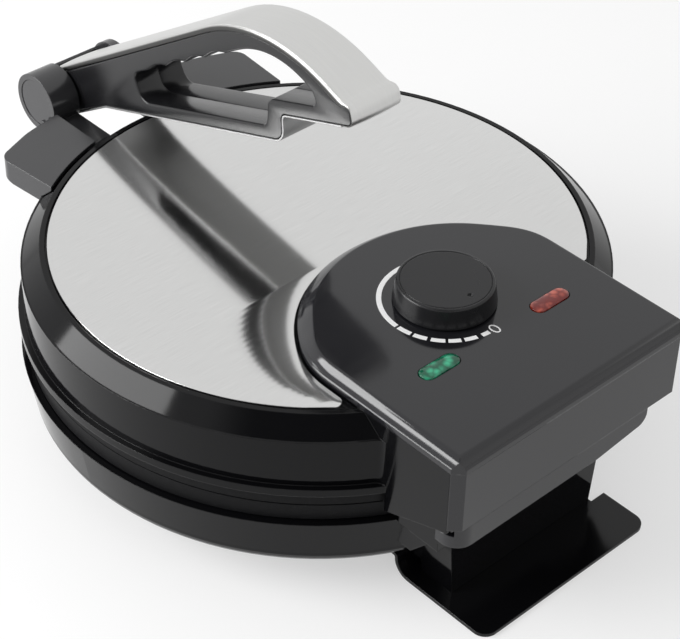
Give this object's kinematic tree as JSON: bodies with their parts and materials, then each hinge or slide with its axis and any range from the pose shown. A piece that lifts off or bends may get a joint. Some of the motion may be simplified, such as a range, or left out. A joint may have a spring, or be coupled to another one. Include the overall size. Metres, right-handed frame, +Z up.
{
  "type": "electric roti maker",
  "caption": "Round electric flatbread maker: a hinged clamshell of heated plates with a lever handle on its bracket, a control box with knob and lamps, and a bent sheet rear stand.",
  "frame": {"origin": "middle of the footprint, on the surface that the appliance stands on", "axes": "+X to the appliance's left hand as seen from its handle side, +Y from the handle to the hinge and controls, +Z up"},
  "size_m": [0.292, 0.3765, 0.2108],
  "materials": {
    "gloss_housing": "glossy black moulded housing",
    "cover_plastic": "matte black vented bottom cover",
    "coated_plate": "cast aluminium with a dark matte non-stick coating",
    "heater_sheath": "dull heat-tinted tubular heater sheath",
    "shield_steel": "plain aluminised sheet",
    "screw_steel": "zinc plated steel",
    "fuse_sleeve": "woven glass sleeve",
    "foot_rubber": "black rubber",
    "stand_paint": "gloss black painted sheet steel",
    "gland_rubber": "black rubber bush",
    "terminal_ceramic": "cream glazed insulating block",
    "brushed_disc": "fine brushed stainless sheet",
    "panel_plastic": "satin black top with a glossy sloping border",
    "white_print": "thin white print",
    "red_lens": "translucent red lens",
    "green_lens": "translucent green lens",
    "washer_nylon": "dark nylon friction washer",
    "handle_plastic": "satin black heat resistant handle plastic",
    "handle_steel": "satin brushed stainless strap",
    "trim_steel": "bright steel edge trim",
    "knob_plastic": "satin black knob"
  },
  "bodies": {
    "root": {"base_shell": "gloss_housing", "base_cover": "cover_plastic", "lower_plate": "coated_plate", "lower_heater": "heater_sheath", "lower_heat_shield": "shield_steel", "lower_shield_screws": "screw_steel", "lower_thermal_fuse": "fuse_sleeve", "base_plate_screws": "screw_steel", "base_cover_screws": "screw_steel", "rubber_feet": "foot_rubber", "rear_stand": "stand_paint", "stand_screws": "screw_steel", "hinge_pins": "screw_steel", "cord_gland": "gland_rubber", "terminal_block": "terminal_ceramic"},
    "lid": {"lid_shell": "gloss_housing", "lid_disc": "brushed_disc", "upper_plate": "coated_plate", "upper_heater": "heater_sheath", "upper_heat_shield": "shield_steel", "upper_shield_screws": "screw_steel", "upper_thermal_fuse": "fuse_sleeve", "lid_plate_screws": "screw_steel", "control_panel": "panel_plastic", "dial_scale": "white_print", "thermostat": "terminal_ceramic", "thermostat_nut": "screw_steel", "red_lens": "red_lens", "green_lens": "green_lens", "lamp_holders": "terminal_ceramic", "panel_screws": "screw_steel", "handle_bracket": "gloss_housing", "bracket_screws": "screw_steel", "barrel_caps": "gloss_housing", "pivot_pin": "screw_steel", "pivot_washers": "washer_nylon"},
    "handle": {"handle_left": "handle_plastic", "handle_right": "handle_plastic", "handle_strap": "handle_steel", "handle_trim": "trim_steel", "handle_screws": "screw_steel"},
    "knob": {"control_knob": "knob_plastic", "knob_mark": "knob_plastic", "control_shaft": "screw_steel"}
  },
  "joints": [
    {"name": "lid_hinge", "type": "hinge", "parent": "root", "child": "lid", "pos_m": [0, 0.16225, 0.06], "axis": [-1, 0, 0], "range_deg": [0, 100]},
    {"name": "handle_pivot", "type": "hinge", "parent": "lid", "child": "handle", "pos_m": [0, -0.17225, 0.103], "axis": [1, 0, 0], "range_deg": [-9, 40]},
    {"name": "knob_turn", "type": "hinge", "parent": "lid", "child": "knob", "pos_m": [0, 0.09825, 0.115], "axis": [0, 0, -1], "range_deg": [0, 270]}
  ]
}
